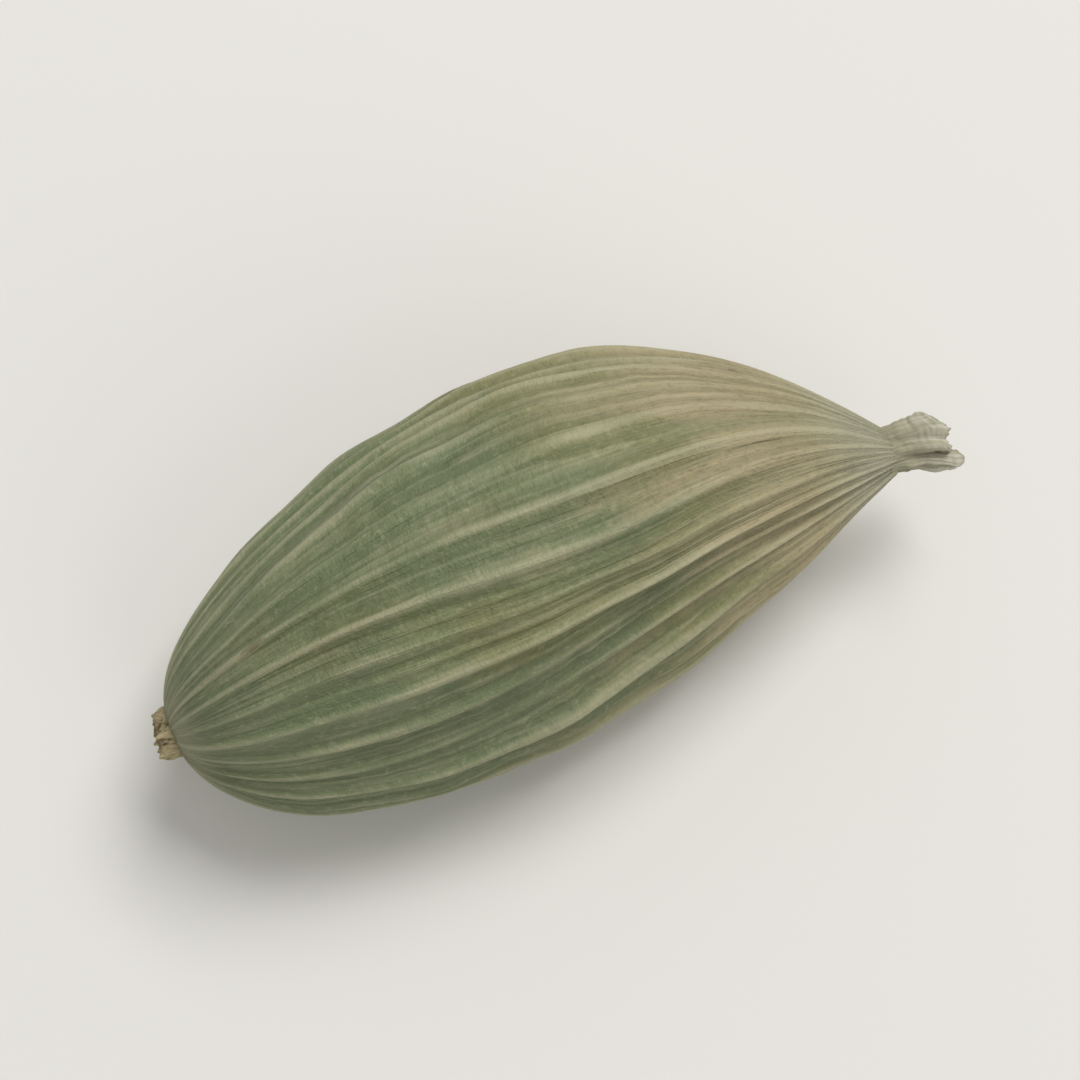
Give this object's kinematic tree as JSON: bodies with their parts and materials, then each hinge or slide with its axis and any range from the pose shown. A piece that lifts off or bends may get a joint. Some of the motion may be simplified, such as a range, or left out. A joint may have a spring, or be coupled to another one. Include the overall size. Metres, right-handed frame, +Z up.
{
  "type": "green cardamom pod",
  "caption": "Dried spice pod: a ribbed, three-sided green capsule with a rounded stalk end and a tapered beak, lying on one flat side.",
  "frame": {"origin": "on the surface that the pod rests on, on its flat spot under the widest section", "axes": "+X along the pod towards its beak, +Z up, -Z out of the flat spot"},
  "size_m": [0.0159, 0.007, 0.0064],
  "materials": {
    "husk": "dried papery plant fibre, olive green with a tan flush towards the beak",
    "stalk": "dry broken stem, straw coloured",
    "flower": "dry pleated flower tissue, pale straw"
  },
  "bodies": {
    "root": {"husk": "husk", "stalk_stub": "stalk", "flower_remnant": "flower"}
  },
  "joints": []
}
